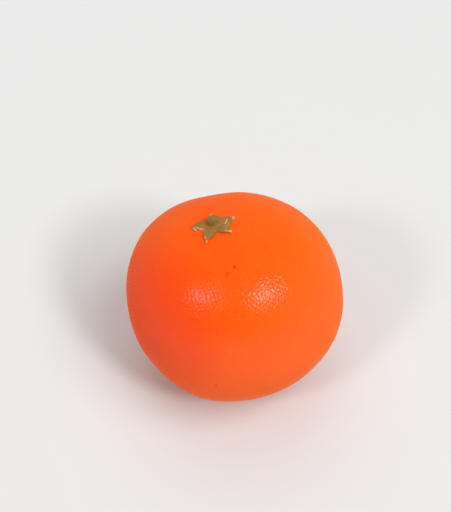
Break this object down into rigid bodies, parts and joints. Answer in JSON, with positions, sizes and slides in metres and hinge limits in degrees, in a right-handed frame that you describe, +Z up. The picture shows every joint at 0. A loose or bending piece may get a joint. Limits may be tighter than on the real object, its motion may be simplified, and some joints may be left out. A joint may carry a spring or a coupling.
{
  "type": "orange",
  "caption": "Small whole orange with pitted peel, a star-shaped dried calyx on its crown and the woody stub of its stalk.",
  "frame": {"origin": "on the resting plane, under the middle of the fruit's bounding box", "axes": "+Z up and the shortest extent, as it rests; +X along the longest extent, away from the side that the crown leans to"},
  "size_m": [0.068, 0.065, 0.0632],
  "materials": {
    "peel": "satin citrus peel, pitted with oil glands about 1.2 mm apart",
    "calyx": "dried olive-brown sepals with paler tips",
    "stem_scar": "dull woody stub"
  },
  "bodies": {
    "root": {"fruit": "peel", "calyx": "calyx", "stem_scar": "stem_scar"}
  },
  "joints": []
}
